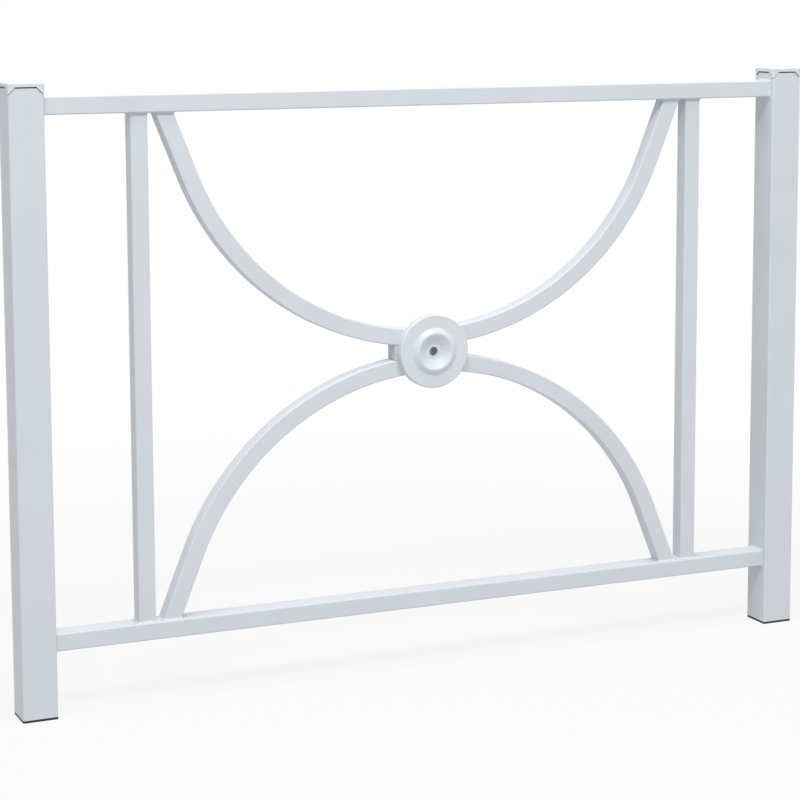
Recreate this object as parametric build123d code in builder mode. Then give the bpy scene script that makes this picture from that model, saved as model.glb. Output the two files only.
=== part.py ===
"""Street barrier: two square posts, two rails, two uprights, and two bowed
tubes that meet back to back at a round boss in the middle.

Frame: +X runs from the left post to the right post, +Y points away from the
side that is seen, and +Z is up. The origin is the centre of the underside of
the left post's foot plug. Lengths are in millimetres.
"""
from build123d import *
from math import atan, cos, degrees, radians, sin, sqrt
import os

os.makedirs("parts", exist_ok=True)

# Posts
post_pitch = 1440.0          # between the two posts' centre lines
post_width = 60.0            # square tube, outside
post_wall = 2.0
post_corner = 3.0            # outside corner radius
tube_top = 1048.0            # where the post's tube ends, above the ground

# Foot plugs
foot_flange = 4.0            # the part that stands on the ground
foot_depth = 28.0            # how far a plug reaches up into its post
plug_wall = 3.0
slip_fit = 0.3               # between a plug and the tube round it, each side

# Caps and the plugs that carry them
cap_overhang = 1.0           # of a cap past its post, each side
cap_corner = 4.0
cap_wall = 2.5
cap_rim = 5.5                # upright band of a cap above the open joint
cap_crown = 7.2              # rise of the vaulted top above the band
cap_round = 1.2              # rounding where the vaulted top meets the band
cap_pocket = 5.0             # how far a plug reaches up into its cap
ear_leg = 12.5               # drop and width of a cap's corner ears
cap_clearing = 120.0         # square that is cut away round the corners' cutter
shadow_gap = 2.2             # open joint between a cap and its post
carrier_depth = 38.0         # how far a cap's plug reaches down into its post
carrier_inset = 1.0          # of the plug's collar behind the post's faces

# Rails
rail_depth = 40.0            # along Y
rail_height = 30.0
rail_wall = 2.0
rail_corner = 2.5
top_rail_drop = 14.0         # top of the upper rail below the post tube's end
bottom_rail_gap = 112.0      # under the lower rail

# Uprights and arcs, all of one square tube
bar_width = 30.0
bar_wall = 2.0
bar_corner = 2.5
upright_inset = 192.0        # from a post's centre line to an upright's
arc_inset = 236.0            # from a post's centre line to an arc's, at its rail
arc_end_tilt = 21.8          # of an arc's straight ends from the vertical, degrees
arc_gap = 17.0               # between the two arcs where they come closest

# Boss in the middle
spacer_overhang = 5.0        # of the spacer past the rosette, each side
spacer_fit = 0.2             # between the spacer and each arc
spacer_edge = 1.0
rosette_radius = 65.0
rosette_skirt = 15.5         # from the arcs' faces to the flat ring
rosette_wall = 3.0           # measured along the bolt
rosette_round = 2.5          # of the skirt's front edge
ridge_outer = 42.0           # radius where the raised ring starts
ridge_crest = 32.0
ridge_rise = 6.5             # crest above the flat ring
ridge_foot_round = 4.0
ridge_crest_round = 5.0
dish_round = 6.0             # where the dish runs out into its floor
hub_radius = 14.0
hub_face = 11.0              # from the arcs' faces to the dish's floor
head_seat = 3.0              # from the arcs' faces to the floor of the bolt's pocket
head_pocket = 7.8            # radius of the pocket

# Bolt, barrel nut and washers
bolt_radius = 4.0
bolt_head = 6.8              # radius of the head
bolt_head_height = 3.4
bolt_reach = 6.0             # end of the shank past the barrier's middle plane
nut_reach = 8.0              # end of the nut's sleeve before that plane
bolt_fit = 0.25              # round a shank, each side
socket_width = 5.0           # across the flats of the hexagon socket
socket_depth = 2.2
head_round = 1.6
nut_sleeve = 5.2             # radius of the barrel
washer_thickness = 1.2
washer_radius = 7.5

# Levels and places that follow from the dimensions
top_rail_top = tube_top - top_rail_drop
top_rail_under = top_rail_top - rail_height
bottom_rail_top = bottom_rail_gap + rail_height
middle_x = post_pitch / 2
middle_z = (top_rail_under + bottom_rail_top) / 2
rail_length = post_pitch - post_width
bar_length = top_rail_under - bottom_rail_top
tube_bore = post_width - 2 * post_wall
plug_width = tube_bore - 2 * slip_fit
plug_corner = post_corner - post_wall
bar_face = bar_width / 2
tube_bar_bore = bar_width - 2 * bar_wall
spacer_length = 2 * (rosette_radius + spacer_overhang)

# An arc's centre line is a circle with a straight line tangent to it at each
# end. Its half span at the rail and its height there fix the circle's radius:
# span = radius cos(tilt) + end sin(tilt), height = radius (1 - sin(tilt)) +
# end cos(tilt), with end the length of the straight line.
arc_tilt = radians(arc_end_tilt)
arc_span = middle_x - arc_inset
arc_height = top_rail_under - middle_z - arc_gap / 2 - bar_face
arc_radius = (arc_span * cos(arc_tilt) - arc_height * sin(arc_tilt)) / (1 - sin(arc_tilt))
arc_end = (arc_height - arc_radius * (1 - sin(arc_tilt))) / cos(arc_tilt)
arc_outer = arc_radius + bar_face
arc_centre_z = middle_z + arc_gap / 2 + arc_outer

# A cap's corner ears are bounded by planes that climb inwards at one in one
# along both faces of a post. A square turned by 45 degrees and extruded with
# this taper has just those planes as its sides.
ear_taper = degrees(atan(1 / sqrt(2)))
ear_base = tube_top - ear_leg
ear_square = post_width * sqrt(2)
joint_square = ear_square + 2 * shadow_gap
collar_width = post_width - 2 * carrier_inset
collar_square = ear_square - 2 * shadow_gap - ear_leg * sqrt(2)
cap_base = tube_top + shadow_gap
cap_width = post_width + 2 * cap_overhang
rim_top = cap_base + cap_rim
cap_top = rim_top + cap_crown

mid_plane = Plane((middle_x, 0, 0), x_dir=(0, 1, 0), z_dir=(1, 0, 0))
boss_plane = Plane((middle_x, 0, middle_z))
boss_axis = Axis((middle_x, 0, middle_z), (0, 1, 0))
boss_front = Plane(boss_plane.origin, z_dir=(0, -1, 0))
boss_rear = Plane(boss_plane.origin, z_dir=(0, 1, 0))


# The corners that a post's tube loses to the ears of its cap.
with BuildPart() as ear_cutter:
    with BuildSketch(Plane.XY.offset(ear_base)):
        Rectangle(cap_clearing, cap_clearing)
    extrude(amount=2 * ear_leg)
    with BuildSketch(Plane.XY.offset(ear_base)):
        Rectangle(ear_square, ear_square, rotation=45)
    extrude(amount=2 * ear_leg, taper=ear_taper, mode=Mode.SUBTRACT)


# Posts
with BuildPart() as left_post:
    with BuildSketch(Plane.XY.offset(foot_flange)):
        RectangleRounded(post_width, post_width, post_corner)
        RectangleRounded(tube_bore, tube_bore, plug_corner, mode=Mode.SUBTRACT)
    extrude(amount=tube_top - foot_flange)
    add(ear_cutter.part, mode=Mode.SUBTRACT)

with BuildPart() as right_post:
    mirror(left_post.part, about=mid_plane)


# Foot plugs: a flange that stands on the ground and a cup inside the tube.
with BuildPart() as left_foot_plug:
    with BuildSketch():
        RectangleRounded(post_width, post_width, post_corner)
    extrude(amount=foot_flange)
    with BuildSketch(Plane.XY.offset(foot_flange)):
        RectangleRounded(plug_width, plug_width, plug_corner)
    extrude(amount=foot_depth)
    with BuildSketch(Plane.XY.offset(foot_flange)):
        Rectangle(plug_width - 2 * plug_wall, plug_width - 2 * plug_wall)
    extrude(amount=foot_depth, mode=Mode.SUBTRACT)

with BuildPart() as right_foot_plug:
    mirror(left_foot_plug.part, about=mid_plane)


# Cap carriers: the plug in a post's top whose collar shows in the open joint.
with BuildPart() as left_cap_carrier:
    with BuildSketch(Plane.XY.offset(tube_top - carrier_depth)):
        RectangleRounded(plug_width, plug_width, plug_corner)
    extrude(amount=carrier_depth + shadow_gap + cap_pocket)
    with BuildSketch(Plane.XY.offset(tube_top)):
        Rectangle(collar_width, collar_width)
        Rectangle(collar_square, collar_square, rotation=45, mode=Mode.INTERSECT)
    extrude(amount=shadow_gap)
    with BuildSketch(Plane.XY.offset(tube_top - carrier_depth)):
        Rectangle(plug_width - 2 * plug_wall, plug_width - 2 * plug_wall)
    extrude(amount=carrier_depth + shadow_gap + cap_pocket - plug_wall, mode=Mode.SUBTRACT)

with BuildPart() as right_cap_carrier:
    mirror(left_cap_carrier.part, about=mid_plane)


# Caps: a lid with a vaulted top, hollow below, with an ear at each corner. The
# top is what two equal vaults, one along X and one along Y, have in common.
with BuildPart() as left_cap:
    with BuildSketch(Plane.XY.offset(ear_base)):
        RectangleRounded(cap_width, cap_width, cap_corner)
    extrude(amount=cap_top - ear_base)
    for side in (Plane.XZ, Plane.YZ):
        with BuildSketch(side):
            with BuildLine():
                crown = ThreePointArc((-cap_width / 2, rim_top), (0, cap_top),
                                      (cap_width / 2, rim_top))
                Polyline(crown @ 1, (cap_width / 2, ear_base), (-cap_width / 2, ear_base),
                         crown @ 0)
            make_face()
        extrude(amount=cap_width, both=True, mode=Mode.INTERSECT)
    fillet(left_cap.edges().filter_by(GeomType.LINE).filter_by_position(
        Axis.Z, rim_top, rim_top), radius=cap_round)
    with BuildSketch(Plane.XY.offset(ear_base)):
        Rectangle(cap_width - 2 * cap_wall, cap_width - 2 * cap_wall)
    extrude(amount=cap_base + cap_pocket - ear_base, mode=Mode.SUBTRACT)
    with BuildSketch(Plane.XY.offset(ear_base)):
        Rectangle(joint_square, joint_square, rotation=45)
    extrude(amount=cap_base - ear_base, taper=ear_taper, mode=Mode.SUBTRACT)

with BuildPart() as right_cap:
    mirror(left_cap.part, about=mid_plane)


# Rails between the posts' inner faces
with BuildPart() as bottom_rail:
    with BuildSketch(Plane.YZ.offset(post_width / 2)):
        with Locations((0, bottom_rail_gap + rail_height / 2)):
            RectangleRounded(rail_depth, rail_height, rail_corner)
            RectangleRounded(rail_depth - 2 * rail_wall, rail_height - 2 * rail_wall,
                             rail_corner - rail_wall, mode=Mode.SUBTRACT)
    extrude(amount=rail_length)

with BuildPart() as top_rail:
    with BuildSketch(Plane.YZ.offset(post_width / 2)):
        with Locations((0, top_rail_top - rail_height / 2)):
            RectangleRounded(rail_depth, rail_height, rail_corner)
            RectangleRounded(rail_depth - 2 * rail_wall, rail_height - 2 * rail_wall,
                             rail_corner - rail_wall, mode=Mode.SUBTRACT)
    extrude(amount=rail_length)


# Uprights between the rails
with BuildPart() as left_upright:
    with BuildSketch(Plane.XY.offset(bottom_rail_top)):
        with Locations((upright_inset, 0)):
            RectangleRounded(bar_width, bar_width, bar_corner)
            RectangleRounded(bar_width - 2 * bar_wall, bar_width - 2 * bar_wall,
                             bar_corner - bar_wall, mode=Mode.SUBTRACT)
    extrude(amount=bar_length)

with BuildPart() as right_upright:
    mirror(left_upright.part, about=mid_plane)


# Arcs: the tube runs straight, round and straight again, past the rail by a
# tube's width at both ends, and is then cut level under the rail.
with BuildPart() as upper_arc:
    with BuildLine(Plane.XZ):
        bend = CenterArc((middle_x, arc_centre_z), arc_radius, 180 + arc_end_tilt,
                         180 - 2 * arc_end_tilt)
        left_end = Line(bend @ 0 - (bend % 0) * (arc_end + bar_width), bend @ 0)
        right_end = Line(bend @ 1, bend @ 1 + (bend % 1) * (arc_end + bar_width))
    with BuildSketch(Plane(left_end @ 0, x_dir=(0, 1, 0), z_dir=left_end % 0)):
        RectangleRounded(bar_width, bar_width, bar_corner)
        Rectangle(tube_bar_bore, tube_bar_bore, mode=Mode.SUBTRACT)
    sweep()
    split(bisect_by=Plane.XY.offset(top_rail_under), keep=Keep.BOTTOM)

with BuildPart() as lower_arc:
    mirror(upper_arc.part, about=Plane.XY.offset(middle_z))


# Spacer: a bar hollowed above and below to the arcs' curve
with BuildPart() as centre_spacer:
    with BuildSketch(Plane.XZ):
        with Locations((middle_x, middle_z)):
            Rectangle(spacer_length, bar_width * 2)
        with Locations((middle_x, arc_centre_z), (middle_x, 2 * middle_z - arc_centre_z)):
            Circle(arc_outer + spacer_fit, mode=Mode.SUBTRACT)
    extrude(amount=bar_face, both=True)
    chamfer(centre_spacer.faces().sort_by(Axis.X)[0].edges(), length=spacer_edge)
    chamfer(centre_spacer.faces().sort_by(Axis.X)[-1].edges(), length=spacer_edge)
    with Locations(boss_front):
        Hole(nut_sleeve + bolt_fit)


# Rosette: a round cover turned from one profile, with a raised ring, a dish
# and a hub that carries the bolt. The profile is drawn as radius against Y, its
# face first and then its back, which stays one wall behind the face.
flat_y = -bar_face - rosette_skirt
crest_y = flat_y - ridge_rise
floor_y = -bar_face - hub_face
seat_y = -bar_face - head_seat
with BuildPart() as front_rosette:
    with BuildSketch(boss_plane):
        with BuildLine():
            face = FilletPolyline((rosette_radius, -bar_face), (rosette_radius, flat_y),
                                  (ridge_outer, flat_y), (ridge_crest, crest_y),
                                  (hub_radius, floor_y), (head_pocket, floor_y),
                                  radius=(rosette_round, ridge_foot_round,
                                          ridge_crest_round, dish_round))
            pocket = Polyline(face @ 1, (head_pocket, seat_y),
                              (bolt_radius + bolt_fit, seat_y),
                              (bolt_radius + bolt_fit, -bar_face), (hub_radius, -bar_face))
            back = Polyline(pocket @ 1, (hub_radius, floor_y + rosette_wall),
                            (ridge_crest, crest_y + rosette_wall),
                            (ridge_outer, flat_y + rosette_wall),
                            (rosette_radius - rosette_wall, flat_y + rosette_wall),
                            (rosette_radius - rosette_wall, -bar_face))
            Line(back @ 1, face @ 0)
        make_face()
    revolve(axis=boss_axis)


# Washers: on the floor of the rosette's pocket and behind the spacer
with BuildPart() as front_washer:
    with BuildSketch(boss_front.offset(bar_face + head_seat)):
        Circle(washer_radius)
        Circle(bolt_radius + bolt_fit, mode=Mode.SUBTRACT)
    extrude(amount=washer_thickness)

with BuildPart() as rear_washer:
    with BuildSketch(boss_rear.offset(bar_face)):
        Circle(washer_radius)
        Circle(nut_sleeve + bolt_fit, mode=Mode.SUBTRACT)
    extrude(amount=washer_thickness)


# Bolt from the front, through the spacer, and barrel nut from the rear
bolt_face = bar_face + head_seat + washer_thickness
nut_face = bar_face + washer_thickness
with BuildPart() as centre_bolt:
    with BuildSketch(boss_front.offset(bolt_face)):
        Circle(bolt_head)
    extrude(amount=bolt_head_height)
    fillet(centre_bolt.edges().filter_by(GeomType.CIRCLE).sort_by(Axis.Y)[0], radius=head_round)
    with BuildSketch(boss_front.offset(bolt_face + bolt_head_height)):
        RegularPolygon(socket_width / 2, 6, major_radius=False)
    extrude(amount=-socket_depth, mode=Mode.SUBTRACT)
    with BuildSketch(boss_front.offset(bolt_face)):
        Circle(bolt_radius)
    extrude(amount=-bolt_face - bolt_reach)

with BuildPart() as barrel_nut:
    with BuildSketch(boss_rear.offset(nut_face)):
        Circle(bolt_head)
    extrude(amount=bolt_head_height)
    fillet(barrel_nut.edges().filter_by(GeomType.CIRCLE).sort_by(Axis.Y)[-1], radius=head_round)
    with BuildSketch(boss_rear.offset(nut_face)):
        Circle(nut_sleeve)
    extrude(amount=-nut_face - nut_reach)
    with BuildSketch(boss_rear.offset(-nut_reach)):
        Circle(bolt_radius + bolt_fit)
    extrude(amount=nut_reach + bolt_reach + bolt_fit, mode=Mode.SUBTRACT)
    with BuildSketch(boss_rear.offset(nut_face + bolt_head_height)):
        RegularPolygon(socket_width / 2, 6, major_radius=False)
    extrude(amount=-socket_depth, mode=Mode.SUBTRACT)


left_post.part.label = "left_post"
right_post.part.label = "right_post"
left_foot_plug.part.label = "left_foot_plug"
right_foot_plug.part.label = "right_foot_plug"
left_cap_carrier.part.label = "left_cap_carrier"
right_cap_carrier.part.label = "right_cap_carrier"
left_cap.part.label = "left_cap"
right_cap.part.label = "right_cap"
top_rail.part.label = "top_rail"
bottom_rail.part.label = "bottom_rail"
left_upright.part.label = "left_upright"
right_upright.part.label = "right_upright"
upper_arc.part.label = "upper_arc"
lower_arc.part.label = "lower_arc"
centre_spacer.part.label = "centre_spacer"
front_rosette.part.label = "front_rosette"
front_washer.part.label = "front_washer"
rear_washer.part.label = "rear_washer"
centre_bolt.part.label = "centre_bolt"
barrel_nut.part.label = "barrel_nut"

export_step(left_post.part, "parts/left_post.step")
export_step(right_post.part, "parts/right_post.step")
export_step(left_foot_plug.part, "parts/left_foot_plug.step")
export_step(right_foot_plug.part, "parts/right_foot_plug.step")
export_step(left_cap_carrier.part, "parts/left_cap_carrier.step")
export_step(right_cap_carrier.part, "parts/right_cap_carrier.step")
export_step(left_cap.part, "parts/left_cap.step")
export_step(right_cap.part, "parts/right_cap.step")
export_step(top_rail.part, "parts/top_rail.step")
export_step(bottom_rail.part, "parts/bottom_rail.step")
export_step(left_upright.part, "parts/left_upright.step")
export_step(right_upright.part, "parts/right_upright.step")
export_step(upper_arc.part, "parts/upper_arc.step")
export_step(lower_arc.part, "parts/lower_arc.step")
export_step(centre_spacer.part, "parts/centre_spacer.step")
export_step(front_rosette.part, "parts/front_rosette.step")
export_step(front_washer.part, "parts/front_washer.step")
export_step(rear_washer.part, "parts/rear_washer.step")
export_step(centre_bolt.part, "parts/centre_bolt.step")
export_step(barrel_nut.part, "parts/barrel_nut.step")
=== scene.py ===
"""Street barrier, dressed for the picture: powder coat on the tubes, caps and
rosette, with the centre spacer's coat made darker to paint the shade on its
end; black moulded plugs, whose black also paints the shadow line under each
cap and the contact shadow under each foot; dark plated fasteners, darkened
more to paint the shade in the rosette's pocket; and the weld beads that join
the tubes. Lengths are in metres, in the barrier's own frame: +X from the
left post to the right post, +Y away from the side that is seen, +Z up."""
import math

import bpy
import numpy as np
from mathutils import Matrix, Vector


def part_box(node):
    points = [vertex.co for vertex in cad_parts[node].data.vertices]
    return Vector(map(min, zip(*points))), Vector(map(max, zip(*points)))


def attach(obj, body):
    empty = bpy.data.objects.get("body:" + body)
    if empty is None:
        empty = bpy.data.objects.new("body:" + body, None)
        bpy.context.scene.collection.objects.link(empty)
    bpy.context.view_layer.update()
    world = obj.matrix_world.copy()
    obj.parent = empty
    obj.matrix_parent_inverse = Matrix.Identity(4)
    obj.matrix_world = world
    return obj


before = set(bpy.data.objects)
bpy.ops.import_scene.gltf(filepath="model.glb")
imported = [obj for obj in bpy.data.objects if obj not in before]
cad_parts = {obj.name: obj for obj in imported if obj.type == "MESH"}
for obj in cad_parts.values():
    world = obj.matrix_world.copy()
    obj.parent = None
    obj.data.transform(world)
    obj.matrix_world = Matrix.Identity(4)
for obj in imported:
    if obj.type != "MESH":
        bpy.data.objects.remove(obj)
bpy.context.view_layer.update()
scene = bpy.context.scene

# A box's corner has three numbers, and the tubes' boxes give the sizes below
X, Y, Z = 0, 1, 2
post_low, post_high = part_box("left_post")
right_low, right_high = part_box("right_post")
top_low, top_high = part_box("top_rail")
bottom_low, bottom_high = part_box("bottom_rail")
upright_low, upright_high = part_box("left_upright")
arc_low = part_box("upper_arc")[0]


def middle(low, high, axis):
    """The middle of a box along an axis, to the micrometre."""
    return round((low[axis] + high[axis]) / 2, 6)


def half(low, high, axis):
    """Half the width of a box along an axis, to the micrometre."""
    return round((high[axis] - low[axis]) / 2, 6)


# Sizes and places that the frame gives
POST_HALF = half(post_low, post_high, X)
POST_PITCH = middle(right_low, right_high, X)
CENTRE_X = POST_PITCH / 2
RAIL_HALF_DEPTH = half(top_low, top_high, Y)
RAIL_HALF_HEIGHT = half(top_low, top_high, Z)
TOP_RAIL_HEIGHT = (top_low[Z] + top_high[Z]) / 2
BOTTOM_RAIL_HEIGHT = (bottom_low[Z] + bottom_high[Z]) / 2
BAR_HALF = half(upright_low, upright_high, X)
UPRIGHT_INSET = middle(upright_low, upright_high, X)
BOSS_HEIGHT = sum(corner[Z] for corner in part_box("centre_spacer")) / 2

# Sizes that no box tells, the same as in the part's source
RAIL_CORNER = 0.0025
BAR_CORNER = 0.0025
ARC_END_TILT = math.radians(21.8)

# An arc's tube leans and is cut level at its rail, so the cut is wider than the
# tube. The arc's box begins at one edge of the cut
ARC_LEAN = math.tan(ARC_END_TILT)
ARC_HALF_CUT = BAR_HALF / math.cos(ARC_END_TILT)
ARC_INSET = round(arc_low[X] + ARC_HALF_CUT, 6)

# The tubes' colour, and the leg of a weld bead before its ripples
COAT = (0.655, 0.690, 0.735)
BEAD_LEG = 0.0030


# Materials
def new_material(name):
    """A material with an empty node tree; returns it, its nodes, its links."""
    material = bpy.data.materials.new(name)
    material.use_nodes = True
    tree = material.node_tree
    tree.nodes.clear()
    return material, tree.nodes, tree.links


def new_shader(nodes, links):
    """A Principled shader, joined to the material's output."""
    out = nodes.new("ShaderNodeOutputMaterial")
    shader = nodes.new("ShaderNodeBsdfPrincipled")
    links.new(shader.outputs["BSDF"], out.inputs["Surface"])
    return shader


def own_coordinates(nodes):
    """The piece's own coordinates, in metres in the barrier's frame."""
    return nodes.new("ShaderNodeTexCoord").outputs["Object"]


def measured_from(nodes, links, coords, place):
    """The same coordinates, measured from a place."""
    shifted = nodes.new("ShaderNodeMapping")
    shifted.inputs["Location"].default_value = [-measure for measure in place]
    links.new(coords, shifted.inputs["Vector"])
    return shifted.outputs["Vector"]


def noise(nodes, links, coords, scale, detail, roughness=0.5):
    """A cloudy pattern between 0 and 1, finer as the scale grows."""
    node = nodes.new("ShaderNodeTexNoise")
    node.inputs["Scale"].default_value = scale
    node.inputs["Detail"].default_value = detail
    node.inputs["Roughness"].default_value = roughness
    links.new(coords, node.inputs["Vector"])
    return node.outputs["Fac"]


def colour_between(nodes, links, pattern, dark, light, start=0.0, end=1.0):
    """A colour from dark to light, as the pattern goes from start to end."""
    ramp = nodes.new("ShaderNodeValToRGB")
    for stop, place, colour in zip(ramp.color_ramp.elements, (start, end), (dark, light)):
        stop.position = place
        stop.color = [*colour, 1]
    links.new(pattern, ramp.inputs["Fac"])
    return ramp.outputs["Color"]


def number_between(nodes, links, pattern, low, high, start=0.0, end=1.0, way="LINEAR"):
    """A number from low to high, as the pattern goes from start to end."""
    spread = nodes.new("ShaderNodeMapRange")
    spread.interpolation_type = way
    spread.inputs["From Min"].default_value = start
    spread.inputs["From Max"].default_value = end
    spread.inputs["To Min"].default_value = low
    spread.inputs["To Max"].default_value = high
    links.new(pattern, spread.inputs["Value"])
    return spread.outputs["Result"]


def relief(nodes, links, shader, pattern, height, strength):
    """The pattern as fine relief on the surface, its height in metres."""
    bump = nodes.new("ShaderNodeBump")
    bump.inputs["Strength"].default_value = strength
    bump.inputs["Distance"].default_value = height
    links.new(pattern, bump.inputs["Height"])
    links.new(bump.outputs["Normal"], shader.inputs["Normal"])


def powder_coat(name, shade=1.0, spread=0.02, rough=0.42, peel_scale=240.0):
    """Satin powder coat: the tubes' colour times a shade, which drifts a
    little over a hand's width, with faint darker specks, a roughness that
    follows the drift, and the orange peel of cured powder as relief."""
    speck_shade = 0.72
    colour = [c * shade for c in COAT]
    dark = [c * (1 - spread) for c in colour]
    light = [c * (1 + spread) for c in colour]
    material, nodes, links = new_material(name)
    coords = own_coordinates(nodes)
    shader = new_shader(nodes, links)
    shader.inputs["IOR"].default_value = 1.46

    drift = noise(nodes, links, coords, scale=9.0, detail=4.0)
    tint = colour_between(nodes, links, drift, dark, light, start=0.32, end=0.68)
    specks = noise(nodes, links, coords, scale=900.0, detail=2.0)
    share = number_between(nodes, links, specks, low=0.0, high=0.05, start=0.66, end=0.80)
    mix = nodes.new("ShaderNodeMix")
    mix.data_type = "RGBA"
    mix.inputs["B"].default_value = [*(c * speck_shade for c in colour), 1]
    links.new(share, mix.inputs["Factor"])
    links.new(tint, mix.inputs["A"])
    links.new(mix.outputs["Result"], shader.inputs["Base Color"])

    satin = number_between(nodes, links, drift, low=rough - 0.05, high=rough + 0.06)
    links.new(satin, shader.inputs["Roughness"])
    peel = noise(nodes, links, coords, peel_scale, detail=3.0, roughness=0.45)
    relief(nodes, links, shader, peel, height=0.00002, strength=0.5)
    return material


def moulded_plastic(name, colour):
    """Matt black plug: a spark-eroded grain in colour, roughness and relief. The plugs' black is
    their own colour and also paints the shadow lines where they show.
    """
    dark = [c * 0.75 for c in colour]
    light = [c * 1.3 for c in colour]
    material, nodes, links = new_material(name)
    shader = new_shader(nodes, links)
    shader.inputs["IOR"].default_value = 1.49
    grain = noise(nodes, links, own_coordinates(nodes), scale=1500.0, detail=5.0, roughness=0.6)
    tint = colour_between(nodes, links, grain, dark, light)
    links.new(tint, shader.inputs["Base Color"])
    dull = number_between(nodes, links, grain, low=0.55, high=0.75)
    links.new(dull, shader.inputs["Roughness"])
    relief(nodes, links, shader, grain, height=0.00005, strength=1.0)
    return material


def plated_steel(name, colour):
    """Dark plated fastener: metal with turning marks, rings about the bolt's
    axis, and a cloudy colour and roughness."""
    dark = [c * 0.7 for c in colour]
    light = [c * 1.25 for c in colour]
    material, nodes, links = new_material(name)
    coords = own_coordinates(nodes)
    shader = new_shader(nodes, links)
    shader.inputs["Metallic"].default_value = 1.0
    cloud = noise(nodes, links, coords, scale=420.0, detail=4.0)
    tint = colour_between(nodes, links, cloud, dark, light)
    links.new(tint, shader.inputs["Base Color"])
    polish = number_between(nodes, links, cloud, low=0.20, high=0.36)
    links.new(polish, shader.inputs["Roughness"])
    turning = nodes.new("ShaderNodeTexWave")
    turning.wave_type = "RINGS"
    turning.rings_direction = "Y"
    turning.inputs["Scale"].default_value = 900.0
    turning.inputs["Distortion"].default_value = 1.5
    about_bolt = measured_from(nodes, links, coords, (CENTRE_X, 0, BOSS_HEIGHT))
    links.new(about_bolt, turning.inputs["Vector"])
    relief(nodes, links, shader, turning.outputs["Fac"], height=0.00003, strength=0.5)
    return material


tube_coat = powder_coat("tube_powder_coat")
arc_coat = powder_coat("arc_powder_coat", shade=1.01, spread=0.025)
cap_coat = powder_coat("cap_powder_coat", shade=1.02, rough=0.38)
rosette_coat = powder_coat("rosette_powder_coat", shade=1.05, rough=0.34)
# Painted shade: the spacer gets the tubes' coat made darker, which paints the shade seen on its
# end beside the rosette
spacer_coat_painted_shade = powder_coat("spacer_powder_coat_painted_shade", shade=0.87, rough=0.48)
bead_coat = powder_coat("bead_powder_coat", shade=0.98, rough=0.40, peel_scale=400.0)
# Painted shadow: the plugs' black is their own colour and also paints the dark shadow line in the
# gap under each cap, where the carrier shows, and the contact shadow under each post's foot
plug_plastic_painted_shadow = moulded_plastic("plug_black_plastic_and_painted_shadow", (0.012, 0.012, 0.013))
# Painted shade: the bolt steel is dark plating, darkened further to paint the shade in the
# rosette's deep pocket round the bolt head
bolt_steel_painted_shade = plated_steel("bolt_plated_steel_and_painted_shade", (0.165, 0.17, 0.18))
washer_steel = plated_steel("washer_plated_steel", (0.30, 0.305, 0.31))

FINISHES = {
    "left_post": tube_coat, "right_post": tube_coat,
    "top_rail": tube_coat, "bottom_rail": tube_coat,
    "left_upright": tube_coat, "right_upright": tube_coat,
    "upper_arc": arc_coat, "lower_arc": arc_coat,
    "centre_spacer": spacer_coat_painted_shade,
    "left_cap": cap_coat, "right_cap": cap_coat,
    "front_rosette": rosette_coat,
    "left_cap_carrier": plug_plastic_painted_shadow, "right_cap_carrier": plug_plastic_painted_shadow,
    "left_foot_plug": plug_plastic_painted_shadow, "right_foot_plug": plug_plastic_painted_shadow,
    "centre_bolt": bolt_steel_painted_shade, "barrel_nut": bolt_steel_painted_shade,
    "front_washer": washer_steel, "rear_washer": washer_steel,
}
for node, finish in FINISHES.items():
    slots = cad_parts[node].data.materials
    slots.clear()
    slots.append(finish)


# Weld beads
def tube_outline(u, half_across, half_up, corner):
    """A tube's outside, a rectangle with round corners, at u, the share of the
    way round it. Straight sides and quarter circles take turns. Along a side,
    the centre goes straight from one corner's centre to the next and the
    normal stays. Round a corner, the centre stays and the normal turns by a
    quarter. A point is the centre plus the corner's radius times the normal.
    Returns the points, the normals and the distances along the outline."""
    quarter = math.pi * corner / 2
    across = 2 * (half_across - corner)
    up = 2 * (half_up - corner)
    lengths = np.array([across, quarter, up, quarter] * 2)
    ends = np.concatenate([[0.0], np.cumsum(lengths)])
    distance = u * ends[-1]
    part = np.clip(np.searchsorted(ends, distance, side="right") - 1, 0, len(lengths) - 1)
    share = (distance - ends[part]) / lengths[part]
    turn = part // 2
    bend = part % 2
    angle = math.pi / 2 * (turn + bend * share) + math.pi / 2
    normal = np.stack([np.cos(angle), np.sin(angle)], axis=1)
    corner_signs = np.array([[-1, 1], [-1, -1], [1, -1], [1, 1]])
    corner_centres = corner_signs * [half_across - corner, half_up - corner]
    begin = corner_centres[turn - 1]
    finish = corner_centres[turn]
    straight = begin + (finish - begin) * share[:, None]
    centre = np.where(bend[:, None] == 1, finish, straight)
    return centre + corner * normal, normal, distance


def bead_leg(u, distance, seed):
    """The bead's leg along the outline: the plain leg times one, plus a quick
    sine, the puddle's ripples, plus a slow one, five swells round the tube.
    The seed sets where each of the two begins."""
    ripple_length, ripple_share = 0.0021, 0.07
    swell_count, swell_share = 5, 0.06
    latest_phase = 6
    rng = np.random.default_rng(seed)
    ripples = np.sin(2 * math.pi * distance / ripple_length + rng.uniform(0, latest_phase))
    swells = np.sin(2 * math.pi * u * swell_count + rng.uniform(0, latest_phase))
    return BEAD_LEG * (1.0 + ripple_share * ripples + swell_share * swells)


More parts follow.
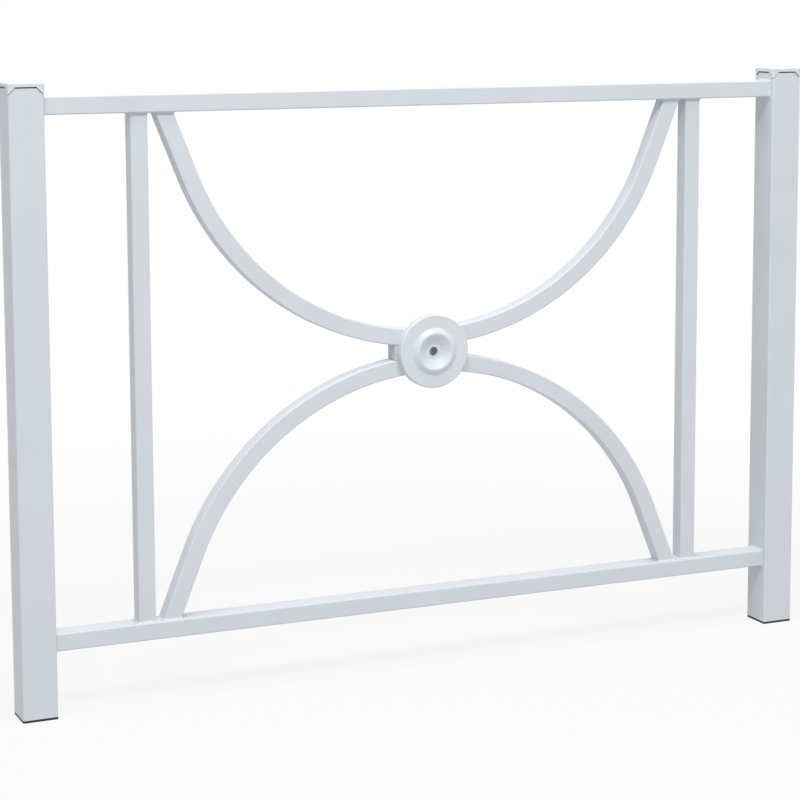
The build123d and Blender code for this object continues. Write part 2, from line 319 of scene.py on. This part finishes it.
def bead_section(leg):
    """The bead's own section, a closed loop of points for each leg. On its
    face, t grows from 0 to 1: the point's distance from the tube's wall is the
    leg times 1 - t and its rise over the joint's plane is the leg times t,
    both less a shallow arch of a sine, which makes the face slightly hollow.
    Three root points lead back to the start: one sunk a little into the tube,
    one into both parts, and one into the part that the tube meets. Returns the
    distances from the wall and the rises."""
    face_points, hollow_share, sink = 9, 0.05, 0.0004
    t = np.linspace(0.0, 1.0, face_points)[None, :]
    hollow = hollow_share * np.sin(math.pi * t)
    root_away = np.repeat([[-sink, -sink, BEAD_LEG / 2]], len(leg), axis=0)
    root_rise = np.repeat([[BEAD_LEG / 2, -sink, -sink]], len(leg), axis=0)
    away = np.concatenate([leg[:, None] * ((1 - t) - hollow), root_away], axis=1)
    rise = np.concatenate([leg[:, None] * (t - hollow), root_rise], axis=1)
    return away, rise


def weld_bead(name, centre, across, up, out, half_across, half_up, corner, seed):
    """A fillet weld round a tube's end, closed both ways: u runs once round the
    tube's outline and v once round the bead's section. A point is the tube's
    outline at u plus the outline's normal times the section's distance from
    the wall, both laid out from the centre along across and up, plus out, the
    way that the tube leaves the joint, times the section's rise."""
    loops = 260
    u = np.linspace(0.0, 1.0, loops, endpoint=False)
    wall, normal, distance = tube_outline(u, half_across, half_up, corner)
    away, rise = bead_section(bead_leg(u, distance, seed))
    flat = wall[:, None, :] + normal[:, None, :] * away[:, :, None]
    across, up, out = (np.array(way, float) for way in (across, up, out))
    points = (np.array(centre) + flat[..., :1] * across + flat[..., 1:] * up
              + rise[..., None] * out)
    closed_piece(name, points, bead_coat)


def closed_piece(name, points, finish):
    """One closed mesh from a grid of points that joins up both ways, its faces
    outward. Each quad takes a point, the next one along u, the next one along
    both u and v, and the next one along v."""
    rows, cols = points.shape[:2]
    i = np.arange(rows)[:, None]
    j = np.arange(cols)[None, :]
    next_i = (i + 1) % rows
    next_j = (j + 1) % cols
    corners = [i * cols + j, next_i * cols + j, next_i * cols + next_j, i * cols + next_j]
    faces = np.stack(corners, axis=-1).reshape(-1, 4)
    mesh = bpy.data.meshes.new(name)
    mesh.from_pydata(points.reshape(-1, 3).tolist(), [], faces.tolist())
    volume = sum(face.area * face.normal.dot(face.center) for face in mesh.polygons)
    if volume < 0:
        mesh.flip_normals()
    mesh.polygons.foreach_set("use_smooth", np.ones(len(mesh.polygons), dtype=bool))
    mesh.materials.append(finish)
    piece = bpy.data.objects.new(name, mesh)
    scene.collection.objects.link(piece)
    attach(piece, "root")


def rail_beads(label, height):
    """The beads where a rail's two ends meet the posts."""
    for side, x, out, seed in (("left", POST_HALF, (1, 0, 0), 11),
                               ("right", POST_PITCH - POST_HALF, (-1, 0, 0), 12)):
        weld_bead(f"{label}_rail_{side}_bead", (x, 0, height), (0, 1, 0), (0, 0, 1), out,
                  RAIL_HALF_DEPTH, RAIL_HALF_HEIGHT, RAIL_CORNER, seed)


def bar_beads(label, x, lean, half_cut, top_seed, foot_seed):
    """The beads where an arc or an upright meets the top rail's underside and
    the bottom rail's top. For each metre that it goes away from the rail, it
    goes along X by the lean."""
    for end, height, away, seed in (("top", top_low[Z], -1, top_seed),
                                    ("foot", bottom_high[Z], 1, foot_seed)):
        weld_bead(f"{label}_{end}_bead", (x, 0, height), (1, 0, 0), (0, 1, 0), (lean, 0, away),
                  half_cut, BAR_HALF, BAR_CORNER, seed)


rail_beads("top", TOP_RAIL_HEIGHT)
rail_beads("bottom", BOTTOM_RAIL_HEIGHT)
for side, x, lean in (("left", ARC_INSET, ARC_LEAN), ("right", POST_PITCH - ARC_INSET, -ARC_LEAN)):
    bar_beads(f"{side}_arc", x, lean, ARC_HALF_CUT, top_seed=31, foot_seed=32)
for side, x in (("left", UPRIGHT_INSET), ("right", POST_PITCH - UPRIGHT_INSET)):
    bar_beads(f"{side}_upright", x, 0, BAR_HALF, top_seed=21, foot_seed=22)


# Studio
def either(nodes, links, first, second):
    """The larger of two numbers: 1 where one of the two is 1."""
    larger = nodes.new("ShaderNodeMath")
    larger.operation = "MAXIMUM"
    links.new(first, larger.inputs[0])
    links.new(second, larger.inputs[1])
    return larger.outputs["Value"]


def floor_paint():
    """A plain matt floor. To the camera and to mirror rays it is near white
    round the object, where its shadow still shows, and fades to the white of
    the backdrop: the white share grows smoothly with the distance from the
    barrier's middle, from the near radius to the far one."""
    grey, white_share, near_radius, far_radius = 0.62, 0.86, 1.0, 2.4
    material, nodes, links = new_material("studio_paint")
    paint = nodes.new("ShaderNodeBsdfDiffuse")
    paint.inputs["Color"].default_value = (grey, grey, grey, 1)
    white = nodes.new("ShaderNodeEmission")
    white.inputs["Color"].default_value = (1, 1, 1, 1)
    white.inputs["Strength"].default_value = 1.0
    from_middle = measured_from(nodes, links, own_coordinates(nodes), (CENTRE_X, 0, 0))
    radius = nodes.new("ShaderNodeVectorMath")
    radius.operation = "LENGTH"
    links.new(from_middle, radius.inputs[0])
    fade = number_between(nodes, links, radius.outputs["Value"], low=white_share, high=1.0,
                          start=near_radius, end=far_radius, way="SMOOTHSTEP")
    ray = nodes.new("ShaderNodeLightPath").outputs
    share = nodes.new("ShaderNodeMath")
    share.operation = "MULTIPLY"
    links.new(either(nodes, links, ray["Is Camera Ray"], ray["Is Glossy Ray"]), share.inputs[0])
    links.new(fade, share.inputs[1])
    mix = nodes.new("ShaderNodeMixShader")
    links.new(share.outputs["Value"], mix.inputs["Fac"])
    links.new(paint.outputs["BSDF"], mix.inputs[1])
    links.new(white.outputs["Emission"], mix.inputs[2])
    out = nodes.new("ShaderNodeOutputMaterial")
    links.new(mix.outputs["Shader"], out.inputs["Surface"])
    return material


def studio_floor():
    """A flat square at the ground, wide enough that its edge is white."""
    reach = 14.0
    corners = [(-reach, -reach, 0), (reach, -reach, 0), (reach, reach, 0), (-reach, reach, 0)]
    mesh = bpy.data.meshes.new("studio_floor")
    mesh.from_pydata(corners, [], [(0, 1, 2, 3)])
    mesh.materials.append(floor_paint())
    piece = bpy.data.objects.new("studio_floor", mesh)
    scene.collection.objects.link(piece)


def studio_world():
    """White where it is looked at, in a mirror or through glass, and a soft
    even fill everywhere else."""
    world = bpy.data.worlds.new("studio_world")
    scene.world = world
    world.use_nodes = True
    nodes, links = world.node_tree.nodes, world.node_tree.links
    nodes.clear()
    fill = nodes.new("ShaderNodeBackground")
    fill.inputs["Color"].default_value = (0.965, 0.985, 1.0, 1)
    fill.inputs["Strength"].default_value = 0.53
    white = nodes.new("ShaderNodeBackground")
    white.inputs["Color"].default_value = (1, 1, 1, 1)
    white.inputs["Strength"].default_value = 1.0
    ray = nodes.new("ShaderNodeLightPath").outputs
    looked_at = either(nodes, links, ray["Is Camera Ray"], ray["Is Glossy Ray"])
    looked_at = either(nodes, links, looked_at, ray["Is Transmission Ray"])
    mix = nodes.new("ShaderNodeMixShader")
    links.new(looked_at, mix.inputs["Fac"])
    links.new(fill.outputs["Background"], mix.inputs[1])
    links.new(white.outputs["Background"], mix.inputs[2])
    out = nodes.new("ShaderNodeOutputWorld")
    links.new(mix.outputs["Shader"], out.inputs["Surface"])


def soft_lamp(name, place, width, height, power, colour=(1, 1, 1)):
    """A rectangular softbox that faces the barrier's middle, half a metre up."""
    aim = Vector((CENTRE_X, 0.0, 0.5))
    lamp = bpy.data.lights.new(name, "AREA")
    lamp.shape = "RECTANGLE"
    lamp.size = width
    lamp.size_y = height
    lamp.energy = power
    lamp.color = colour
    softbox = bpy.data.objects.new(name, lamp)
    softbox.location = place
    softbox.rotation_euler = (aim - Vector(place)).to_track_quat("-Z", "Y").to_euler()
    scene.collection.objects.link(softbox)


def main_camera():
    """The camera that matches the photograph: its place, its turn to the
    right, its tilt down and its roll in radians, its focal length in pixels,
    and the pixels from the picture's top to where its axis meets it."""
    frame_px, sensor_mm = 800.0, 36.0
    place = Vector((-0.91887, -3.60169, 1.19682))
    turn, tilt, roll = 0.4148, 0.1258, -0.0037
    focal_px, axis_px = 2265.2, 280.0
    ahead = Vector((math.sin(turn), math.cos(turn), 0.0))
    right = Vector((math.cos(turn), -math.sin(turn), 0.0))
    above = Vector((0.0, 0.0, 1.0))
    forward = ahead * math.cos(tilt) - above * math.sin(tilt)
    upward = above * math.cos(tilt) + ahead * math.sin(tilt)
    side = right * math.cos(roll) + upward * math.sin(roll)
    upright = upward * math.cos(roll) - right * math.sin(roll)
    lens = bpy.data.cameras.new("main_camera")
    lens.sensor_width = sensor_mm
    lens.lens = focal_px / frame_px * sensor_mm
    lens.shift_y = (axis_px - frame_px / 2) / frame_px
    lens.clip_start = 0.05
    lens.clip_end = 100.0
    camera = bpy.data.objects.new("main_camera", lens)
    turned = Matrix((side, upright, -forward)).transposed().to_4x4()
    camera.matrix_world = Matrix.Translation(place) @ turned
    scene.collection.objects.link(camera)
    scene.camera = camera


studio_floor()
studio_world()
soft_lamp("front_softbox", place=(-0.1, -4.05, 6.8), width=5.0, height=1.2, power=335.0)
soft_lamp("top_softbox", place=(0.2, -0.46, 4.0), width=0.6, height=1.4, power=36.0,
          colour=(1.0, 0.98, 0.955))
main_camera()
scene.view_settings.view_transform = "Standard"
